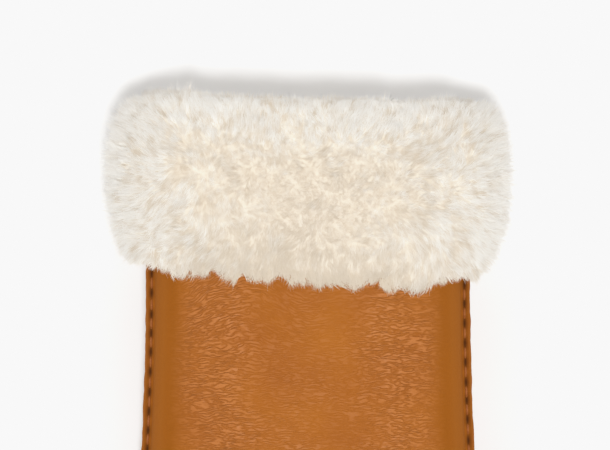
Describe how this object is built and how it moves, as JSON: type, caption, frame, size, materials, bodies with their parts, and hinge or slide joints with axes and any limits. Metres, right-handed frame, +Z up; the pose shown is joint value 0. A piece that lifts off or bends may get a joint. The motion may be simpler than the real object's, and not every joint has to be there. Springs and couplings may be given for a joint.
{
  "type": "leather mitten with wool cuff",
  "caption": "Tan leather mitten with a flat outseam, a turned-back shearling cuff and a wool lining, lying with its palm down.",
  "frame": {"origin": "the flat of the palm that rests on the surface, under the middle of the hand", "axes": "+Y towards the open mouth, -Y towards the fingertips, +X towards the thumb, +Z up through the back of the hand"},
  "size_m": [0.2002, 0.2968, 0.0587],
  "materials": {
    "leather": "satin",
    "wool": "matte"
  },
  "bodies": {
    "root": {"back_panel": "leather", "palm_panel": "leather", "lining_back": "wool", "lining_palm": "wool", "fur_cuff": "wool"}
  },
  "joints": []
}
